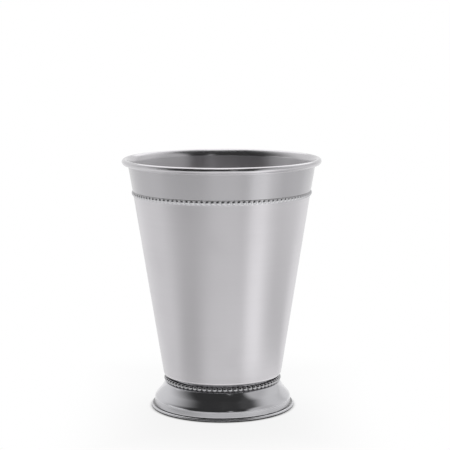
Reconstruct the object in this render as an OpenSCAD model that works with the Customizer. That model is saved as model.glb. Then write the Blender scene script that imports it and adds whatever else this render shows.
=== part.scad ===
// Beaded julep cup: a spun tumbler with a rolled rim, brazed to a hollow pedestal foot,
// with one row of beaded wire under the collar and one where the foot meets the cup.
// Millimetres. Z is the axis of the cup and z = 0 is the face that it rests on.

/* [Rim] */
// Diameter over the rolled rim
rim_d = 88.9; // [84:0.1:94]
// Diameter of the roll's section
rim_roll_d = 2.66; // [2.4:0.02:3]
// How far the roll stands out from the line of the collar
rim_overhang = 2.5; // [2.3:0.05:3.2]
// Radius of the flare that leads the collar into the roll
rim_flare_r = 4; // [3:0.25:6]
// How far round the sheet is curled, in degrees
rim_curl_turn = 268; // [240:2:272]

/* [Cup] */
// Height from the table to the top of the rim
cup_h = 112.4; // [100:0.2:125]
// Thickness of the cup's sheet
cup_sheet = 0.8; // [0.6:0.05:0.9]
// Height of the rim's top above the upper bead row
collar_h = 15.4; // [12:0.1:18]
// Lean of the collar from the vertical, in degrees
collar_lean = 9.85; // [8.5:0.05:11]
// Diameter of the cup's flat underside
base_d = 50.8; // [48:0.1:53]
// Outer radius of the heel, between wall and underside
heel_r = 1.2; // [1:0.1:2]

/* [Beads] */
// Diameter of one bead
bead_d = 2.36; // [2.3:0.01:2.6]
// Distance from bead to bead along a row
bead_pitch = 2.28; // [2.24:0.01:2.29]
// How far the upper, half-round beads stand off the wall
bead_rise = 0.64; // [0.55:0.01:0.9]
// Width of the strip that carries the upper beads
strip_w = 2.3; // [2.1:0.05:3]
// Thickness of that strip
strip_sheet = 0.16; // [0.12:0.01:0.25]
// Gap that the lower, round beads keep from the neck and the ledge
bead_gap = 0.02; // [0.01:0.01:0.1]
// How far the lower beads' core reaches out past their centres
core_reach = 0.2; // [0:0.05:0.4]
// How far the core reaches up past their centres
core_rise = 0.45; // [0.2:0.05:0.7]

/* [Foot] */
// Height from the table to the cup's underside
foot_h = 14.6; // [13.4:0.1:17]
// Thickness of the foot's sheet
foot_sheet = 0.6; // [0.5:0.05:0.65]
// Diameter over the rolled edge
foot_d = 64.4; // [60:0.1:68]
// How far the rolled edge stands out from the neck
foot_reach = 8.15; // [7.4:0.05:9.2]
// Width of the flange that is brazed to the cup's underside
flange_w = 5; // [3:0.5:10]
// Outer radius of the bend between flange and neck
neck_bend_r = 1; // [0.9:0.05:1.4]
// How far the ledge that the lower beads sit on lies below the cup's underside
ledge_drop = 2.95; // [2.75:0.05:3.3]
// Radius in the corner between neck and ledge
ledge_corner_r = 0.3; // [0.15:0.05:0.4]
// How far the drum's upper edge stands out from the neck
ledge_w = 2.2; // [2.1:0.02:2.6]
// Outer radius of the bend between ledge and drum
ledge_bend_r = 0.8; // [0.7:0.05:1]
// Lean of the drum under the ledge, in degrees
drum_top_lean = 20; // [15:1:24]
// Share that the radius of the drum's hollow curve has of the widest one that fits
drum_curve_share = 0.81; // [0.5:0.01:0.95]
// Radius of the drum's shoulder
shoulder_r = 3; // [2:0.1:4]
// Lean at which the shoulder tightens into its lip, in degrees
lip_lean = 12; // [8:1:16]
// Radius of the lip
lip_r = 0.7; // [0.7:0.05:1]
// How far the lip turns in past the vertical, in degrees
lip_turn = 20; // [10:1:30]
// Height of the crease between lip and skirt
crease_h = 3.7; // [3.2:0.05:4.2]
// Radius in the crease
crease_r = 0.3; // [0.2:0.05:0.5]
// Lean of the skirt, in degrees
skirt_lean = 5; // [2:0.5:10]
// Radius in the groove between skirt and rolled edge
groove_r = 0.15; // [0.1:0.01:0.3]
// Width of the flat between groove and roll
foot_flat_w = 0.5; // [0.3:0.05:0.8]
// Height of the rolled edge
foot_roll_d = 1.4; // [1.34:0.02:1.7]
// How far the edge is tucked in under the foot, past the roll
tuck_w = 1.2; // [0.8:0.1:1.3]

/* [Hidden] */

$fn = 240;
bead_fn = 48;
arc_steps = 8;
curl_steps = 28;

satin_steel = "#b9b8bb";
bright_steel = "#d3d3d6";

// The rim's curl: its centre, and the collar's line at its height.
rim_roll_r = rim_roll_d / 2;
rim_roll_c = [rim_d / 2 - rim_roll_r, cup_h - rim_roll_r];
collar_at_rim_r = rim_d / 2 - rim_overhang;

// The upper bead row lies on the knee where the collar, leaning a little more, meets the wall.
knee = [
    collar_at_rim_r - (collar_h - rim_roll_r) * tan(collar_lean),
    cup_h - collar_h
];
heel_c = [base_d / 2, foot_h + heel_r];
wall_lean = lean_off_circle(knee - heel_c, heel_r);
knee_lean = (wall_lean + collar_lean) / 2;

// The flare touches the collar's line and runs into the curl without a break.
curl_stand_off = (rim_overhang - rim_roll_r) * cos(collar_lean);
flare_reach = rim_flare_r + cup_sheet - rim_roll_r;
flare_out = rim_flare_r - curl_stand_off;
flare_turn = acos(flare_out / flare_reach);
flare_c = rim_roll_c - flare_reach * dir(180 - collar_lean - flare_turn);

// The foot's flange, neck and ledge. The flange always reaches in under the cup.
neck_r = foot_d / 2 - foot_reach;
flange_edge_r = min(neck_r, base_d / 2) - flange_w;
flange_c = [neck_r - neck_bend_r, foot_h - neck_bend_r];
ledge_h = foot_h - ledge_drop;
corner_c = [neck_r + ledge_corner_r, ledge_h + ledge_corner_r];
ledge_bend_c = [neck_r + ledge_w - ledge_bend_r, ledge_h - ledge_bend_r];

// The rolled edge, and the skirt that touches both the groove's and the crease's circle.
foot_roll_r = foot_roll_d / 2;
foot_roll_c = [foot_d / 2 - foot_roll_r, foot_roll_r];
tuck_r = foot_roll_c.x - tuck_w;
groove_c = foot_roll_c + [-foot_flat_w, foot_roll_r + groove_r];
skirt_rise = crease_h - groove_c.y;
crease_out = (crease_r - groove_r) / cos(skirt_lean) - skirt_rise * tan(skirt_lean);
crease_c = groove_c + [crease_out, skirt_rise];
lip_c = crease_c + (crease_r + lip_r) * dir(180 - lip_turn);
shoulder_c = lip_c - (shoulder_r - lip_r) * dir(lip_lean);

// The drum's hollow curve leaves the ledge's bend and crosses over into the shoulder.
drum_edge = ledge_bend_c + ledge_bend_r * dir(drum_top_lean);
drum_fall = drum_edge - shoulder_c;
widest_curve_r = (drum_fall * drum_fall - shoulder_r * shoulder_r)
    / (2 * (shoulder_r - drum_fall * dir(drum_top_lean)));
drum_curve_r = drum_curve_share * widest_curve_r;
drum_c = drum_edge + drum_curve_r * dir(drum_top_lean);
drum_lean = lean_between(drum_c - shoulder_c, drum_curve_r + shoulder_r);

// The bead rows.
bead_r = bead_d / 2;
round_row = [neck_r + bead_gap + bead_r, ledge_h + bead_gap + bead_r];
cap_flat = bead_r - bead_rise + strip_sheet / 2;

function dir(angle) = [cos(angle), sin(angle)];
function reversed(points) = [for (i = [len(points) - 1 : -1 : 0]) points[i]];
function arc(centre, radius, from, to, steps = arc_steps) =
    [for (i = [0 : steps]) centre + radius * dir(from + (to - from) * i / steps)];

// Lean of the line that touches a circle and passes a point at the given offset from its centre.
function lean_off_circle(offset, radius) =
    acos(radius / norm(offset)) - atan2(offset.y, offset.x);

// Lean of the line that crosses from one circle to another, with the radii added up.
function lean_between(offset, radii) = atan2(offset.y, offset.x) - acos(radii / norm(offset));

// How many beads of the named pitch close a row of the given radius.
function beads_round(radius) = round(2 * PI * radius / bead_pitch);

// One face of the cup's sheet, from the floor's middle to the curl's edge. Inset 0 is the outside.
function cup_face(inset) = concat(
    [[0, foot_h + inset]],
    arc(heel_c, heel_r - inset, -90, -wall_lean),
    [knee + inset / cos(knee_lean - wall_lean) * dir(180 - knee_lean)],
    arc(flare_c, rim_flare_r + inset, 180 - collar_lean, 180 - collar_lean - flare_turn),
    arc(rim_roll_c, rim_roll_r - cup_sheet + inset, 180 - collar_lean - flare_turn,
        180 - collar_lean - flare_turn - rim_curl_turn, curl_steps)
);

// One face of the foot's sheet, from the flange's inner edge to the tucked edge.
function foot_face(inset) = concat(
    [[flange_edge_r, foot_h - inset]],
    arc(flange_c, neck_bend_r - inset, 90, 0),
    arc(corner_c, ledge_corner_r + inset, 180, 270),
    arc(ledge_bend_c, ledge_bend_r - inset, 90, drum_top_lean),
    arc(drum_c, drum_curve_r + inset, 180 + drum_top_lean, 180 + drum_lean),
    arc(shoulder_c, shoulder_r - inset, drum_lean, lip_lean),
    arc(lip_c, lip_r - inset, lip_lean, -lip_turn),
    arc(crease_c, crease_r + inset, 180 - lip_turn, 180 + skirt_lean),
    arc(groove_c, groove_r + inset, 180 + skirt_lean, 270),
    arc(foot_roll_c, foot_roll_r - inset, 90, -90),
    [[tuck_r, inset]]
);

// Repeats its child, set at the given radius and height, all round the axis.
module bead_row(place) {
    count = beads_round(place.x);
    for (i = [0 : count - 1])
        rotate(i * 360 / count) translate([place.x, 0, place.y]) children();
}

// Half-round bead with its flat back inside the strip, rising along Z.
module half_bead() {
    translate([0, 0, bead_rise - bead_r])
        rotate_extrude($fn = bead_fn)
            intersection() {
                circle(r = bead_r, $fn = bead_fn);
                translate([0, cap_flat]) square(bead_d);
            }
}

// Spun tumbler: floor, heel, wall, collar and rolled rim from one sheet.
module cup_body() {
    color(satin_steel)
        rotate_extrude()
            polygon(concat(cup_face(0), reversed(cup_face(cup_sheet))));
}

// Beaded strip that lies on the knee between collar and wall.
module collar_bead_ring() {
    out = strip_sheet * dir(-knee_lean);
    top = knee + strip_w / 2 * dir(90 - collar_lean);
    bottom = knee - strip_w / 2 * dir(90 - wall_lean);
    color(bright_steel)
        union() {
            bead_row(knee) rotate([0, 90 + knee_lean, 0]) half_bead();
            rotate_extrude()
                polygon([bottom, bottom + out, knee + out, top + out, top, knee]);
        }
}

// Hollow pedestal: flange, neck, ledge, drum, skirt and rolled edge from one sheet.
module foot() {
    color(bright_steel)
        rotate_extrude()
            polygon(concat(foot_face(0), reversed(foot_face(foot_sheet))));
}

// Round beads on a core that fills the corner between the foot's neck and ledge.
module foot_bead_ring() {
    color(bright_steel)
        union() {
            bead_row(round_row) sphere(r = bead_r, $fn = bead_fn);
            rotate_extrude()
                polygon([
                    [neck_r, ledge_h + ledge_corner_r],
                    [neck_r + ledge_corner_r, ledge_h],
                    [round_row.x, ledge_h],
                    round_row + [core_reach, 0],
                    round_row + [0, core_rise],
                    [neck_r, round_row.y + core_rise]
                ]);
        }
}

cup_body();
collar_bead_ring();
foot();
foot_bead_ring();
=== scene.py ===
"""Looks of the beaded julep cup: smooth spun sheets, two bead rows, and their steels."""
import math

import bpy
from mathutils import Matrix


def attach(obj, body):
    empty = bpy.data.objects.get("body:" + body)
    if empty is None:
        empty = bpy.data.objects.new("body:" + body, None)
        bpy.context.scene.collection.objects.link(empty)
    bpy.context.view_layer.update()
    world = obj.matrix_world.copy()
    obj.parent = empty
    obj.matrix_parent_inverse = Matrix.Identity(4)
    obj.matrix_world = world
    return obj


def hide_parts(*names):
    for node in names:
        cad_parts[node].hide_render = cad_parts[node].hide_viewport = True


MM = 0.001

# Named sizes of the part, in millimetres and degrees, as its source has them.
RIM_D, RIM_ROLL_D, RIM_OVERHANG, RIM_FLARE_R, RIM_CURL_TURN = 88.9, 2.66, 2.5, 4.0, 268.0
CUP_H, CUP_SHEET, COLLAR_H, COLLAR_LEAN, BASE_D, HEEL_R = 112.4, 0.8, 15.4, 9.85, 50.8, 1.2
BEAD_D, BEAD_PITCH, BEAD_RISE, STRIP_W, STRIP_SHEET, BEAD_GAP = 2.36, 2.28, 0.64, 2.3, 0.16, 0.02
CORE_REACH, CORE_RISE = 0.2, 0.45
FOOT_H, FOOT_SHEET, FOOT_D, FOOT_REACH, FLANGE_W, NECK_BEND_R = 14.6, 0.6, 64.4, 8.15, 5.0, 1.0
LEDGE_DROP, LEDGE_CORNER_R, LEDGE_W, LEDGE_BEND_R = 2.95, 0.3, 2.2, 0.8
DRUM_TOP_LEAN, DRUM_CURVE_SHARE, SHOULDER_R = 20.0, 0.81, 3.0
LIP_LEAN, LIP_R, LIP_TURN = 12.0, 0.7, 20.0
CREASE_H, CREASE_R, SKIRT_LEAN, GROOVE_R, FOOT_FLAT_W = 3.7, 0.3, 5.0, 0.15, 0.5
FOOT_ROLL_D, TUCK_W = 1.4, 1.2

# Fineness of the meshes: steps of a full turn, degrees to a step of a section's arc, and the rings
# and sides of a bead.
SEGMENTS = 384
ARC_STEP = 3.0
BEAD_RINGS, BEAD_SIDES = 12, 28

# Points closer than this are one, in metres, and section heights closer than this, in millimetres.
SAME_POINT = 1e-9
SAME_HEIGHT = 0.01

# Only in the looks, in millimetres: the rounding of the strip's edges, how far up the skirt the
# groove's painted shade fades out, and how far up the wall the heel's finish goes.
STRIP_EDGE_R, GROOVE_SHADE_W, HEEL_FINISH_W = 0.07, 0.2, 0.3

# Painted shade, as shares: in the groove, under the foot's rolled edge up to a share of its height,
# on the upper half of the collar's strip, and on the core of the lower row up to its middle and
# above.
GROOVE_PAINTED_SHADE, EDGE_PAINTED_SHADE, EDGE_SHADE_H, STRIP_PAINTED_SHADE = 1.0, 0.9, 0.45, 0.8
CORE_LOW_PAINTED_SHADE, CORE_TOP_PAINTED_SHADE = 0.9, 0.2

# Painted shade on a bead: full share at this angle from the bead's middle, growing with this power.
# Each row has its share and how much of it the lower side is spared, painting the top darker.
BEAD_SHADE_ANGLE, BEAD_SHADE_POWER = 80, 3
COLLAR_BEAD_PAINTED_SHADE, COLLAR_BEAD_SPARE = 1.0, 0.9
FOOT_BEAD_PAINTED_SHADE, FOOT_BEAD_SPARE = 0.3, 0.0

# Patterns in the steel. Turned lines: scale along x and y, scale across the section, and detail.
# Blots: scale, detail and roughness of the noise.
FINE_LINES, BROAD_LINES, LINE_NOISE = (60.0, 6.0, 2.0), (25.0, 1.1, 3.0), 0.6
SMEARS, SPECKS = (55.0, 4.0, 0.55), (900.0, 2.0, 0.6)

# What the patterns do: the smears between which wear sets in, the gain and base of the roughness by
# the broad lines, how specks thin the painted shade, the gain and base of the shade by the broad
# lines and how dark it gets, the depth of the lines in metres, and the turn of the anisotropy.
WEAR = (0.45, 0.75)
LINE_ROUGH_GAIN, LINE_ROUGH_BASE = 0.10, 0.95
SHADE_SPECKS = (0.3, 0.65, 0.55, 1.0)
LINE_SHADE_GAIN, LINE_SHADE_BASE, LINE_SHADE = 0.5, 0.1, 0.955
LINE_DEPTH = 0.00002
BRUSH_TURN = 0.25
BAND_EASE = 0.2

# The floor's outline, in metres: its far edge, its sides, and its front edge from left to right.
FLOOR_FAR, FLOOR_SIDE = 14.0, 9.0
FLOOR_FRONT = (
    (-FLOOR_SIDE, -0.1), (-0.5, -0.16), (-0.24, -0.34), (-0.05, -0.42), (0.2, -0.42), (0.7, -0.5),
    (FLOOR_SIDE, -0.5),
)

# The floor turns from shaded paper to white with distance from the axis, first by a near share and
# then by the rest, or by the distance to the side. Start and end of the near turn are given as the
# camera sees them and as the metal mirrors them.
SHADE_START, SHADE_END = (0.032, 0.031), (0.042, 0.0338)
NEAR_WHITE, FAR_WHITE = 0.86, 0.14
FAR_TURN, SIDE_TURN = (0.05, 0.115), (0.022, 0.075)
PAPER_DARK, PAPER_LIGHT = (0.93, 0.93, 0.93, 1.0), (0.96, 0.96, 0.96, 1.0)
FIBRES = (1200.0, 3.0, 0.5)
WHITE = (1.0, 1.0, 1.0, 1.0)

# Bright and dim patches on the table, as they show in the metal: middle, half width and soft edge
# in degrees from the front, distance of the near and far edge, and the change in level. They set in
# over one distance and fade out at a multiple of the far edge.
PATCH_EASE, PATCH_FADE = 0.03, 1.45
PATCHES = (
    (47.0, 10.0, 9.0, 0.05, 1.0, 0.33),
    (96.0, 20.0, 16.0, 0.05, 1.0, -0.28),
    (-50.0, 15.0, 18.0, 0.035, 0.13, -0.32),
    (35.0, 55.0, 40.0, 0.03, 0.061, 0.25),
    (88.0, 24.0, 20.0, 0.24, 1.0, 0.2),
    (-95.0, 28.0, 20.0, 0.05, 1.0, -0.05),
    (-90.0, 30.0, 24.0, 0.01, 0.037, 0.3),
    (100.0, 25.0, 24.0, 0.01, 0.037, 0.35),
    (-80.0, 22.0, 16.0, 0.035, 0.058, -0.2),
)

# Cards round the cup: middle, half width and soft edge in degrees from the front, lower and upper
# edge in degrees above the table, and strength.
CARD_EASE = 3.0
CARDS = (
    (14.0, 3.5, 3.0, 13.0, 28.0, 0.7),
    (4.0, 20.0, 20.0, -90.0, -2.0, 0.85),
    (-85.0, 22.0, 20.0, 2.0, 15.0, 1.1),
)

# The room: degrees from the front between which a side turns from one strength to another. The
# right panel has the direction's x in place of degrees and the ceiling its z.
LEFT_SIDE = (57.0, 133.0, 0.045, 0.9)
RIGHT_SIDES = ((25.0, 55.0, 0.0, 0.08), (78.0, 110.0, 0.0, 0.2))
RIGHT_PANEL = (0.56, 0.76, 0.0, 0.54)
BACK = (105.0, 145.0, 0.0, 0.9)
CEILING = (0.955, 0.985)

# The lamp behind and above, in metres and watts.
LAMP_PLACE, LAMP_AIM, LAMP_D, LAMP_WATTS = (0.10, 0.60, 1.15), (0.0, 0.0, 0.05), 1.9, 5.5

# The camera, as fitted: metres, degrees, and millimetres for lens and sensor.
EYE, EYE_DOWN, EYE_ROLL, EYE_TURN = (0.0, -0.67372, 0.17915), 8.19, 0.2, -0.147
LENS, SENSOR_W, CLIP = 121.62, 36.0, (0.01, 60.0)


# Section geometry. A face is a list of (r, z, normal r, normal z) in millimetres.

def unit(angle):
    return (math.cos(math.radians(angle)), math.sin(math.radians(angle)))


def tan(angle):
    return math.tan(math.radians(angle))


def plus(point, length, angle):
    step = unit(angle)
    return (point[0] + length * step[0], point[1] + length * step[1])


def minus(a, b):
    return (a[0] - b[0], a[1] - b[1])


def arc(centre, radius, start, end, hollow=False):
    """An arc with its outward normals, which point to its centre where it is hollow."""
    steps = max(2, math.ceil(abs(end - start) / ARC_STEP))
    side = -1 if hollow else 1
    face = []
    for i in range(steps + 1):
        angle = start + (end - start) * i / steps
        normal = unit(angle)
        face.append(plus(centre, radius, angle) + (side * normal[0], side * normal[1]))
    return face


def corner(point, *angles):
    """A point with one normal for each face that meets there."""
    return [tuple(point) + unit(angle) for angle in angles]


def lengths(face):
    """How far along the section each of its points lies."""
    along = [0.0]
    for a, b in zip(face, face[1:]):
        along.append(along[-1] + math.hypot(b[0] - a[0], b[1] - a[1]))
    return along


def place_of(face, point):
    """Where in a section a point first comes."""
    return next(i for i, entry in enumerate(face) if entry[:2] == point)


def flipped(face):
    """The same face walked back, with its normals turned to the other side."""
    return [(r, z, -nr, -nz) for r, z, nr, nz in reversed(face)]


def edged(points):
    """A closed polygon, listed upwards round its outside, with a normal for each edge."""
    face = []
    for a, b in zip(points, points[1:] + points[:1]):
        angle = math.degrees(math.atan2(b[1] - a[1], b[0] - a[0])) - 90
        face += corner(a, angle) + corner(b, angle)
    return face


def sections():
    """The closed sections of sheets, strip and core, the bead rows' places and the finish bands."""
    roll_r = RIM_ROLL_D / 2
    roll_c = (RIM_D / 2 - roll_r, CUP_H - roll_r)
    knee = (RIM_D / 2 - RIM_OVERHANG - (COLLAR_H - roll_r) * tan(COLLAR_LEAN), CUP_H - COLLAR_H)
    heel_c = (BASE_D / 2, FOOT_H + HEEL_R)
    offset = minus(knee, heel_c)
    wall_lean = math.degrees(
        math.acos(HEEL_R / math.hypot(*offset)) - math.atan2(offset[1], offset[0])
    )
    knee_lean = (wall_lean + COLLAR_LEAN) / 2
    stand_off = (RIM_OVERHANG - roll_r) * math.cos(math.radians(COLLAR_LEAN))
    reach = RIM_FLARE_R + CUP_SHEET - roll_r
    flare_turn = math.degrees(math.acos((RIM_FLARE_R - stand_off) / reach))
    flare_end = 180 - COLLAR_LEAN - flare_turn
    flare_c = plus(roll_c, -reach, flare_end)
    curl_end = flare_end - RIM_CURL_TURN

    def cup_face(inset):
        bent = plus(knee, inset / math.cos(math.radians(knee_lean - wall_lean)), 180 - knee_lean)
        return (
            corner((0, FOOT_H + inset), -90)
            + arc(heel_c, HEEL_R - inset, -90, -wall_lean)
            + corner(bent, -wall_lean, -COLLAR_LEAN)
            + arc(flare_c, RIM_FLARE_R + inset, 180 - COLLAR_LEAN, flare_end, hollow=True)
            + arc(roll_c, roll_r - CUP_SHEET + inset, flare_end, curl_end, hollow=True)
        )

    cut = curl_end - 90
    cup = (
        cup_face(0)
        + corner(plus(roll_c, roll_r - CUP_SHEET, curl_end), cut)
        + corner(plus(roll_c, roll_r, curl_end), cut)
        + flipped(cup_face(CUP_SHEET))
    )

    neck_r = FOOT_D / 2 - FOOT_REACH
    flange_edge_r = min(neck_r, BASE_D / 2) - FLANGE_W
    ledge_h = FOOT_H - LEDGE_DROP
    flange_c = (neck_r - NECK_BEND_R, FOOT_H - NECK_BEND_R)
    corner_c = (neck_r + LEDGE_CORNER_R, ledge_h + LEDGE_CORNER_R)
    bend_c = (neck_r + LEDGE_W - LEDGE_BEND_R, ledge_h - LEDGE_BEND_R)
    foot_roll_r = FOOT_ROLL_D / 2
    foot_roll_c = (FOOT_D / 2 - foot_roll_r, foot_roll_r)
    tuck_r = foot_roll_c[0] - TUCK_W
    groove_c = (foot_roll_c[0] - FOOT_FLAT_W, 2 * foot_roll_r + GROOVE_R)
    groove_top = plus(plus(groove_c, GROOVE_R, 180 + SKIRT_LEAN), GROOVE_SHADE_W, 90 + SKIRT_LEAN)
    rise = CREASE_H - groove_c[1]
    crease_out = (CREASE_R - GROOVE_R) / unit(SKIRT_LEAN)[0] - rise * tan(SKIRT_LEAN)
    crease_c = (groove_c[0] + crease_out, CREASE_H)
    lip_c = plus(crease_c, CREASE_R + LIP_R, 180 - LIP_TURN)
    shoulder_c = plus(lip_c, LIP_R - SHOULDER_R, LIP_LEAN)
    edge = plus(bend_c, LEDGE_BEND_R, DRUM_TOP_LEAN)
    fall = minus(edge, shoulder_c)
    top = unit(DRUM_TOP_LEAN)
    widest = (fall[0] ** 2 + fall[1] ** 2 - SHOULDER_R ** 2) / (
        2 * (SHOULDER_R - fall[0] * top[0] - fall[1] * top[1])
    )
    curve_r = DRUM_CURVE_SHARE * widest
    drum_c = plus(edge, curve_r, DRUM_TOP_LEAN)
    offset = minus(drum_c, shoulder_c)
    drum_lean = math.degrees(
        math.atan2(offset[1], offset[0]) - math.acos((curve_r + SHOULDER_R) / math.hypot(*offset))
    )

    def foot_face(inset):
        return (
            corner((flange_edge_r, FOOT_H - inset), 90)
            + arc(flange_c, NECK_BEND_R - inset, 90, 0)
            + arc(corner_c, LEDGE_CORNER_R + inset, 180, 270, hollow=True)
            + arc(bend_c, LEDGE_BEND_R - inset, 90, DRUM_TOP_LEAN)
            + arc(drum_c, curve_r + inset, 180 + DRUM_TOP_LEAN, 180 + drum_lean, hollow=True)
            + arc(shoulder_c, SHOULDER_R - inset, drum_lean, LIP_LEAN)
            + arc(lip_c, LIP_R - inset, LIP_LEAN, -LIP_TURN)
            + arc(crease_c, CREASE_R + inset, 180 - LIP_TURN, 180 + SKIRT_LEAN, hollow=True)
            + corner(plus(groove_top, inset, 180 + SKIRT_LEAN), SKIRT_LEAN)
            + arc(groove_c, GROOVE_R + inset, 180 + SKIRT_LEAN, 270, hollow=True)
            + arc(foot_roll_c, foot_roll_r - inset, 90, -90)
            + corner((tuck_r, inset), -90)
        )

    foot = (
        foot_face(0)
        + corner((tuck_r, 0), 180)
        + corner((tuck_r, FOOT_SHEET), 180)
        + flipped(foot_face(FOOT_SHEET))
        + corner((flange_edge_r, FOOT_H - FOOT_SHEET), 180)
        + corner((flange_edge_r, FOOT_H), 180)
    )

    bead_r = BEAD_D / 2
    low_row = (neck_r + BEAD_GAP + bead_r, ledge_h + BEAD_GAP + bead_r)
    core = [
        (neck_r, ledge_h + LEDGE_CORNER_R), (neck_r + LEDGE_CORNER_R, ledge_h),
        (low_row[0], ledge_h), (low_row[0] + CORE_REACH, low_row[1]),
        (low_row[0], low_row[1] + CORE_RISE), (neck_r, low_row[1] + CORE_RISE),
    ]
    bottom = plus(knee, -STRIP_W / 2, 90 - wall_lean)
    head = plus(knee, STRIP_W / 2, 90 - COLLAR_LEAN)
    edge_rise = STRIP_SHEET - STRIP_EDGE_R
    low_edge = plus(plus(bottom, edge_rise, -knee_lean), STRIP_EDGE_R, 90 - wall_lean)
    top_edge = plus(plus(head, edge_rise, -knee_lean), -STRIP_EDGE_R, 90 - COLLAR_LEAN)
    strip = (
        corner(bottom, -90 - knee_lean)
        + arc(low_edge, STRIP_EDGE_R, -90 - knee_lean, -wall_lean)
        + corner(plus(knee, STRIP_SHEET, -knee_lean), -wall_lean, -COLLAR_LEAN)
        + arc(top_edge, STRIP_EDGE_R, -COLLAR_LEAN, 90 - knee_lean)
        + corner(head, 90 - knee_lean, 180 - COLLAR_LEAN)
        + corner(knee, 180 - COLLAR_LEAN, 180 - wall_lean)
        + corner(bottom, 180 - wall_lean, -90 - knee_lean)
    )
    along = lengths(cup)
    knee_at = place_of(cup, knee)
    flare_at = knee_at + 2
    inner_at = len(cup) - 1 - flare_at
    foot_along = lengths(foot)
    groove_at = place_of(foot, groove_top)
    return {
        "cup": cup, "foot": foot, "strip": strip, "core": core,
        "knee": knee, "knee_lean": knee_lean, "low_row": low_row,
        "heel": (along[1], along[knee_at - 1] + HEEL_FINISH_W),
        "collar": (along[knee_at], along[flare_at]), "rim": (along[flare_at], along[inner_at]),
        "skirt": (foot_along[groove_at - 1], foot_along[groove_at]),
    }


# Meshes.

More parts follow.
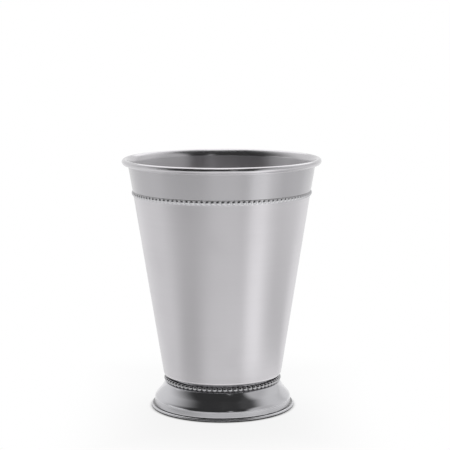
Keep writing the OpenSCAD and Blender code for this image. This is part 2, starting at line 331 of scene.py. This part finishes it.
class Skin:
    """Collects vertices, faces and the normal and section place of every face corner."""

    def __init__(self):
        self.points = []
        self.faces = []
        self.normals = []
        self.places = []
        self.painted_shades = []

    def spin(self, face, hollow=lambda r, z: 0.0):
        """Turns a section round the axis. Hollow gives the share of painted shade at a section
        place.
        """
        rings = []
        along = []
        for i, entry in enumerate(face):
            r, z = entry[0] * MM, entry[1] * MM
            step = math.hypot(r - face[i - 1][0] * MM, z - face[i - 1][1] * MM) if i else 0
            if i and step < SAME_POINT:
                rings.append(rings[-1])
                along.append(along[-1])
                continue
            if i and math.hypot(r - face[0][0] * MM, z - face[0][1] * MM) < SAME_POINT:
                rings.append(rings[0])
                along.append(along[-1] + step)
                continue
            start = len(self.points)
            count = 1 if r < SAME_POINT else SEGMENTS
            for j in range(count):
                turn = 2 * math.pi * j / SEGMENTS
                self.points.append((r * math.cos(turn), r * math.sin(turn), z))
                self.painted_shades.append(hollow(entry[0], entry[1]))
            rings.append((start, count))
            along.append(along[-1] + step if i else 0.0)
        for i in range(len(face) - 1):
            if rings[i] == rings[i + 1]:
                continue
            dr, dz = face[i + 1][0] - face[i][0], face[i + 1][1] - face[i][1]
            outward = dz * face[i][2] - dr * face[i][3] > 0
            for j in range(SEGMENTS):
                ends = [(i, j), (i, j + 1), (i + 1, j + 1), (i + 1, j)]
                if not outward:
                    ends.reverse()
                corners = []
                for k, turn in ends:
                    start, count = rings[k]
                    index = start + (turn % SEGMENTS if count > 1 else 0)
                    if corners and (index == corners[-1][0] or index == corners[0][0]):
                        continue
                    corners.append((index, k, turn))
                if len(corners) < 3:
                    continue
                self.faces.append([c[0] for c in corners])
                for index, k, turn in corners:
                    angle = 2 * math.pi * turn / SEGMENTS
                    nr, nz = face[k][2], face[k][3]
                    self.normals.append((nr * math.cos(angle), nr * math.sin(angle), nz))
                    self.places.append((turn / SEGMENTS, along[k] / MM))

    def bead(self, centre, turn, lean, opening, painted_shade, spare):
        """A ball at a section place, cut off flat towards the axis past a polar angle.

        The painted shade argument is the share of painted shade in its recess, and spare how much
        of it the lower side is spared, which leaves the upper side painted darker."""
        out = unit(-lean)
        cos_t, sin_t = math.cos(turn), math.sin(turn)
        pole = (out[0] * cos_t, out[0] * sin_t, out[1])
        side = (-sin_t, cos_t, 0.0)
        up = (-out[1] * cos_t, -out[1] * sin_t, out[0])
        middle = (centre[0] * MM * cos_t, centre[0] * MM * sin_t, centre[1] * MM)
        radius = BEAD_D / 2 * MM
        rings = []
        for i in range(BEAD_RINGS + 1):
            polar = math.radians(opening) * i / BEAD_RINGS
            sides = 1 if i == 0 or opening >= 180 and i == BEAD_RINGS else BEAD_SIDES
            rings.append((len(self.points), sides))
            shade_depth = min(1.0, polar / math.radians(BEAD_SHADE_ANGLE)) ** BEAD_SHADE_POWER
            for j in range(sides):
                swing = 2 * math.pi * j / BEAD_SIDES
                across, rise = math.cos(swing), math.sin(swing)
                normal = tuple(
                    math.cos(polar) * p + math.sin(polar) * (across * s + rise * u)
                    for p, s, u in zip(pole, side, up)
                )
                self.points.append(tuple(m + radius * n for m, n in zip(middle, normal)))
                # Painted shade: darker towards the bead's seat, and darker on the upper side than
                # the lower.
                self.painted_shades.append(painted_shade * shade_depth * (1 - spare * max(0.0, -rise)))
        for (a, na), (b, nb) in zip(rings, rings[1:]):
            for j in range(BEAD_SIDES):
                k = (j + 1) % BEAD_SIDES
                if na == 1:
                    self.cap((a, b + j, b + k), middle)
                elif nb == 1:
                    self.cap((a + j, b, a + k), middle)
                else:
                    self.cap((a + j, b + j, b + k, a + k), middle)
        if rings[-1][1] > 1:
            first = rings[-1][0]
            self.faces.append([first + j for j in reversed(range(BEAD_SIDES))])
            self.normals += [tuple(-p for p in pole)] * BEAD_SIDES
            self.places += [(0.0, 0.0)] * BEAD_SIDES

    def bead_row(self, centre, pitch_r, lean, opening, painted_shade, spare):
        """A full turn of beads, as many as their pitch gives at a radius."""
        count = round(2 * math.pi * pitch_r / BEAD_PITCH)
        for i in range(count):
            self.bead(centre, 2 * math.pi * i / count, lean, opening, painted_shade, spare)

    def cap(self, corners, middle):
        """A face of a ball, with normals that point away from its middle."""
        self.faces.append(list(corners))
        for index in corners:
            away = [p - m for p, m in zip(self.points[index], middle)]
            length = math.hypot(*away)
            self.normals.append(tuple(a / length for a in away))
            self.places.append((0.0, length / MM))

    def build(self, name, material, node):
        """Makes the piece and says what it rides on, what it replaces and what it is made of."""
        mesh = bpy.data.meshes.new(name)
        mesh.from_pydata(self.points, [], self.faces)
        mesh.polygons.foreach_set("use_smooth", [True] * len(mesh.polygons))
        section = mesh.uv_layers.new(name="section")
        section.data.foreach_set("uv", [v for place in self.places for v in place])
        # The hollow attribute holds the share of painted shade at each point.
        hollow = mesh.attributes.new("hollow", "FLOAT", "POINT")
        hollow.data.foreach_set("value", self.painted_shades)
        mesh.normals_split_custom_set(self.normals)
        mesh.materials.append(material)
        piece = bpy.data.objects.new(name, mesh)
        bpy.context.scene.collection.objects.link(piece)
        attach(piece, "root")
        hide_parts(node)


# Shaders.

class Nodes:
    """Short spelling for node trees."""

    def __init__(self, tree):
        self.tree = tree
        tree.nodes.clear()

    def add(self, kind, sockets=None, **settings):
        node = self.tree.nodes.new(kind)
        for key, value in settings.items():
            setattr(node, key, value)
        for key, value in (sockets or {}).items():
            if isinstance(value, bpy.types.NodeSocket):
                self.tree.links.new(value, node.inputs[key])
            else:
                node.inputs[key].default_value = value
        return node

    def math(self, operation, a, b=0.0, c=0.0):
        sockets = {0: a, 1: b}
        if operation == "MULTIPLY_ADD":
            sockets[2] = c
        return self.add("ShaderNodeMath", sockets, operation=operation).outputs[0]

    def ramp(self, value, low, high, start=0.0, end=1.0):
        """Eases from start to end as value goes from low to high."""
        sockets = {0: value, 1: low, 2: high, 3: start, 4: end}
        node = self.add("ShaderNodeMapRange", sockets, interpolation_type="SMOOTHSTEP")
        return node.outputs[0]

    def blend(self, share, a, b):
        """A number between two, by share."""
        return self.add("ShaderNodeMix", {0: share, 2: a, 3: b}, data_type="FLOAT").outputs[0]

    def tint(self, share, a, b):
        """A colour between two, by share."""
        return self.add("ShaderNodeMix", {0: share, 6: a, 7: b}, data_type="RGBA").outputs[2]

    def noise(self, vector, scale, detail, roughness):
        sockets = {"Vector": vector, "Scale": scale, "Detail": detail, "Roughness": roughness}
        return self.add("ShaderNodeTexNoise", sockets).outputs[0]

    def around(self, x, y):
        """Degrees round the axis from the front, rising to the right."""
        return self.math("DEGREES", self.math("ARCTAN2", x, self.math("MULTIPLY", y, -1.0)))

    def apart(self, value, middle):
        return self.math("ABSOLUTE", self.math("SUBTRACT", value, middle))


def steel(name, clean, painted_shade_colour, rough, anisotropy, line_bump, smear, bands=()):
    """Spun steel: turning lines round the axis, soft smears of handling and painted shade in
    recesses.

    A band has the section lengths between which the finish differs, its share of painted shade and
    its roughness."""
    material = bpy.data.materials.new(name)
    material.use_nodes = True
    n = Nodes(material.node_tree)
    place = n.add("ShaderNodeTexCoord").outputs["Object"]
    flat = n.add("ShaderNodeSeparateXYZ", {0: place})
    section = n.add("ShaderNodeUVMap", uv_map="section").outputs[0]
    along = n.add("ShaderNodeSeparateXYZ", {0: section}).outputs[1]

    def lines(round_scale, across_scale, detail):
        x = n.math("MULTIPLY", flat.outputs[0], round_scale)
        y = n.math("MULTIPLY", flat.outputs[1], round_scale)
        v = n.math("MULTIPLY", along, across_scale)
        vector = n.add("ShaderNodeCombineXYZ", {0: x, 1: y, 2: v}).outputs[0]
        return n.noise(vector, 1.0, detail, LINE_NOISE)

    fine = lines(*FINE_LINES)
    broad = lines(*BROAD_LINES)
    smears = n.noise(place, *SMEARS)
    specks = n.noise(place, *SPECKS)

    worn = n.ramp(smears, *WEAR)
    roughness = n.math("MULTIPLY_ADD", broad, LINE_ROUGH_GAIN * rough, LINE_ROUGH_BASE * rough)
    roughness = n.math("MULTIPLY_ADD", worn, smear, roughness)
    shade_depth = n.add("ShaderNodeAttribute", attribute_name="hollow").outputs["Fac"]
    painted_shade = n.math("MULTIPLY", shade_depth, n.ramp(specks, *SHADE_SPECKS))
    shaded = n.math("MULTIPLY_ADD", broad, LINE_SHADE_GAIN, LINE_SHADE_BASE)
    shade = n.tint(shaded, clean, [c * LINE_SHADE for c in clean[:3]] + [1.0])
    # Painted shade: the colour darkens by the hollow attribute's share, thinned by specks.
    colour = n.tint(painted_shade, shade, painted_shade_colour)
    # A band lays painted shade over its stretch of the section and sets its roughness there.
    for (start, end), share, band_rough in bands:
        inside = n.ramp(along, start, start + BAND_EASE)
        inside = n.math("MULTIPLY", inside, n.ramp(along, end - BAND_EASE, end, 1.0, 0.0))
        colour = n.tint(n.math("MULTIPLY", inside, share), colour, painted_shade_colour)
        roughness = n.blend(inside, roughness, band_rough)
    height = n.math("ADD", fine, broad)
    bump = n.add(
        "ShaderNodeBump", {"Strength": line_bump, "Distance": LINE_DEPTH, "Height": height}
    ).outputs[0]
    tangent = n.add("ShaderNodeTangent", direction_type="RADIAL", axis="Z").outputs[0]
    shader = n.add("ShaderNodeBsdfPrincipled", {
        "Metallic": 1.0, "Anisotropic": anisotropy, "Anisotropic Rotation": BRUSH_TURN,
        "Base Color": colour, "Roughness": roughness, "Normal": bump, "Tangent": tangent,
    })
    n.add("ShaderNodeOutputMaterial", {0: shader.outputs[0]})
    return material


# The set.

def floor():
    """Wide white paper that runs out in front of the cup and keeps its shadow."""
    mesh = bpy.data.meshes.new("floor")
    outline = [(x, y, 0.0) for x, y in FLOOR_FRONT]
    outline += [(FLOOR_SIDE, FLOOR_FAR, 0.0), (-FLOOR_SIDE, FLOOR_FAR, 0.0)]
    mesh.from_pydata(outline, [], [tuple(range(len(outline)))])
    material = bpy.data.materials.new("paper")
    material.use_nodes = True
    n = Nodes(material.node_tree)
    place = n.add("ShaderNodeTexCoord").outputs["Object"]
    flat = n.add("ShaderNodeSeparateXYZ", {0: place})
    x, y = flat.outputs[0], flat.outputs[1]
    out = n.add("ShaderNodeVectorMath", {0: place}, operation="LENGTH").outputs["Value"]
    ray = n.add("ShaderNodeLightPath")
    viewed, mirrored = ray.outputs["Is Camera Ray"], ray.outputs["Is Glossy Ray"]
    seen = n.math("MAXIMUM", viewed, mirrored)
    seen = n.math("MAXIMUM", seen, ray.outputs["Is Transmission Ray"])

    around = n.around(x, y)
    level = 1.0
    for centre, half, soft, near, far, change in PATCHES:
        patch = n.ramp(n.apart(around, centre), half - soft / 2, half + soft, change, 0.0)
        patch = n.math("MULTIPLY", patch, n.ramp(out, near, near + PATCH_EASE))
        patch = n.math("MULTIPLY", patch, n.ramp(out, far, PATCH_FADE * far, 1.0, 0.0))
        level = n.math("ADD", level, n.math("MULTIPLY", patch, mirrored))

    start = n.blend(viewed, *SHADE_START)
    end = n.blend(viewed, *SHADE_END)
    near_share = n.ramp(out, start, end, 0.0, NEAR_WHITE)
    aside = n.ramp(n.math("ABSOLUTE", x), *SIDE_TURN)
    aside = n.math("MULTIPLY", aside, viewed)
    far_share = n.math("MAXIMUM", n.ramp(out, *FAR_TURN), aside)
    far_share = n.math("MULTIPLY", far_share, FAR_WHITE)
    share = n.math("MULTIPLY", seen, n.math("ADD", near_share, far_share))

    paper = n.tint(n.noise(place, *FIBRES), PAPER_DARK, PAPER_LIGHT)
    diffuse = n.add("ShaderNodeBsdfDiffuse", {"Color": paper})
    white = n.add("ShaderNodeEmission", {"Color": WHITE, "Strength": level})
    mixed = n.add("ShaderNodeMixShader", {0: share, 1: diffuse.outputs[0], 2: white.outputs[0]})
    n.add("ShaderNodeOutputMaterial", {0: mixed.outputs[0]})
    mesh.materials.append(material)
    piece = bpy.data.objects.new("floor", mesh)
    bpy.context.scene.collection.objects.link(piece)


def studio():
    """White room, dark over the front, with pale cards low round the table."""
    world = bpy.data.worlds.new("studio")
    bpy.context.scene.world = world
    world.use_nodes = True
    n = Nodes(world.node_tree)
    way = n.add("ShaderNodeSeparateXYZ", {0: n.add("ShaderNodeTexCoord").outputs["Generated"]})
    x, y, z = way.outputs[0], way.outputs[1], way.outputs[2]
    around = n.around(x, y)
    high = n.math("DEGREES", n.math("ARCSINE", z))

    left = n.ramp(n.math("MULTIPLY", around, -1.0), *LEFT_SIDE)
    right = n.ramp(x, *RIGHT_PANEL)
    for side in RIGHT_SIDES:
        right = n.math("ADD", right, n.ramp(around, *side))
    room = n.math("MAXIMUM", left, right)
    room = n.math("MAXIMUM", room, n.ramp(around, *BACK))
    for centre, half, soft, low, top, strength in CARDS:
        card = n.ramp(n.apart(around, centre), half - soft / 2, half + soft / 2, strength, 0.0)
        card = n.math("MULTIPLY", card, n.ramp(high, low, low + CARD_EASE))
        card = n.math("MULTIPLY", card, n.ramp(high, top - CARD_EASE, top, 1.0, 0.0))
        room = n.math("MAXIMUM", room, card)
    room = n.blend(n.ramp(z, *CEILING), room, 1.0)

    ray = n.add("ShaderNodeLightPath")
    plain = n.math("MAXIMUM", ray.outputs["Is Camera Ray"], ray.outputs["Is Transmission Ray"])
    level = n.blend(plain, room, 1.0)
    shader = n.add("ShaderNodeBackground", {"Color": WHITE, "Strength": level})
    n.add("ShaderNodeOutputWorld", {0: shader.outputs[0]})


def lamp(name, place, aim, diameter, watts):
    """A round soft light that faces what it is aimed at."""
    data = bpy.data.lights.new(name, "AREA")
    data.shape = "DISK"
    data.size = diameter
    data.energy = watts
    light = bpy.data.objects.new(name, data)
    light.location = place
    way = [a - p for a, p in zip(aim, place)]
    flat = math.hypot(way[0], way[1])
    light.rotation_euler = (math.atan2(flat, -way[2]), 0.0, math.atan2(-way[0], way[1]))
    bpy.context.scene.collection.objects.link(light)


def camera():
    """The camera in front, which looks a little down at the cup."""
    data = bpy.data.cameras.new("camera")
    data.sensor_width = SENSOR_W
    data.lens = LENS
    data.clip_start, data.clip_end = CLIP
    eye = bpy.data.objects.new("camera", data)
    eye.location = EYE
    eye.rotation_euler = [math.radians(angle) for angle in (90 - EYE_DOWN, EYE_ROLL, EYE_TURN)]
    bpy.context.scene.collection.objects.link(eye)
    bpy.context.scene.camera = eye


# The cup.

def foot_painted_shade(r, z):
    """Painted shade lies in the groove over the rolled edge and under that edge."""
    if FOOT_ROLL_D - SAME_HEIGHT < z < FOOT_ROLL_D + GROOVE_R + SAME_HEIGHT:
        return GROOVE_PAINTED_SHADE
    return EDGE_PAINTED_SHADE if z < EDGE_SHADE_H * FOOT_ROLL_D else 0.0


def dress():
    """Builds the four pieces in their steels."""
    shape = sections()
    knee, knee_lean, low_row = shape["knee"], shape["knee_lean"], shape["low_row"]

    # Bands: painted shade darkens the collar and dims the rim's highlights; the heel band only
    # smooths.
    satin = steel(
        "satin_steel", clean=(0.66, 0.646, 0.668, 1.0), painted_shade_colour=(0.30, 0.30, 0.31, 1.0),
        rough=0.36, anisotropy=0.8, line_bump=0.10, smear=0.03,
        bands=((shape["heel"], 0.0, 0.2), (shape["collar"], 0.5, 0.27), (shape["rim"], 0.2, 0.2)),
    )
    # The skirt band lays painted shade on the skirt.
    bright = steel(
        "bright_steel", clean=(0.61, 0.607, 0.63, 1.0), painted_shade_colour=(0.04, 0.038, 0.04, 1.0),
        rough=0.13, anisotropy=0.4, line_bump=0.03, smear=0.05,
        bands=((shape["skirt"], 0.28, 0.18),),
    )
    beaded = steel(
        "bead_steel", clean=(0.61, 0.607, 0.625, 1.0), painted_shade_colour=(0.12, 0.115, 0.115, 1.0),
        rough=0.24, anisotropy=0.0, line_bump=0.0, smear=0.05,
    )
    # The lower row's steel is the bead steel painted darker, as painted shade, with a smoother
    # finish.
    shaded_beaded = steel(
        "shaded_bead_steel", clean=(0.46, 0.457, 0.47, 1.0), painted_shade_colour=(0.08, 0.077, 0.077, 1.0),
        rough=0.12, anisotropy=0.0, line_bump=0.0, smear=0.05,
    )

    cup = Skin()
    cup.spin(shape["cup"])
    cup.build("cup_spun", satin, "cup_body")

    foot = Skin()
    foot.spin(shape["foot"], hollow=foot_painted_shade)
    foot.build("foot_spun", bright, "foot")

    collar_beads = Skin()
    # Painted shade on the strip's upper half only; its lower half stays clean.
    collar_beads.spin(shape["strip"], hollow=lambda r, z: STRIP_PAINTED_SHADE if z > knee[1] else 0.0)
    sunk = plus(knee, BEAD_RISE - BEAD_D / 2, -knee_lean)
    opening = math.degrees(math.acos(1 - (BEAD_RISE - STRIP_SHEET / 2) / (BEAD_D / 2)))
    collar_beads.bead_row(sunk, knee[0], knee_lean, opening, COLLAR_BEAD_PAINTED_SHADE, COLLAR_BEAD_SPARE)
    collar_beads.build("collar_beads_rolled", beaded, "collar_bead_ring")

    # Painted shade on the lower row's core: heavy up to the beads' middles, light above.
    def core_painted_shade(r, z):
        return CORE_LOW_PAINTED_SHADE if z < low_row[1] + SAME_HEIGHT else CORE_TOP_PAINTED_SHADE

    foot_beads = Skin()
    foot_beads.spin(edged(shape["core"]), hollow=core_painted_shade)
    foot_beads.bead_row(low_row, low_row[0], 0.0, 180.0, FOOT_BEAD_PAINTED_SHADE, FOOT_BEAD_SPARE)
    foot_beads.build("foot_beads_rolled", shaded_beaded, "foot_bead_ring")


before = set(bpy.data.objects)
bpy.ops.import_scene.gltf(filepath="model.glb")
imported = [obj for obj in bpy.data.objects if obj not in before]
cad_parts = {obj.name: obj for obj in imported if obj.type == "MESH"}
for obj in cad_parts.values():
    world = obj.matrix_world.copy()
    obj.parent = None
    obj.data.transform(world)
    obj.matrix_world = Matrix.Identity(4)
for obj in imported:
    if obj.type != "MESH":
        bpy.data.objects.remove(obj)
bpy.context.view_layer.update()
bpy.context.scene.view_settings.view_transform = "Standard"
camera()
studio()
floor()
lamp("back_light", LAMP_PLACE, LAMP_AIM, LAMP_D, LAMP_WATTS)
dress()
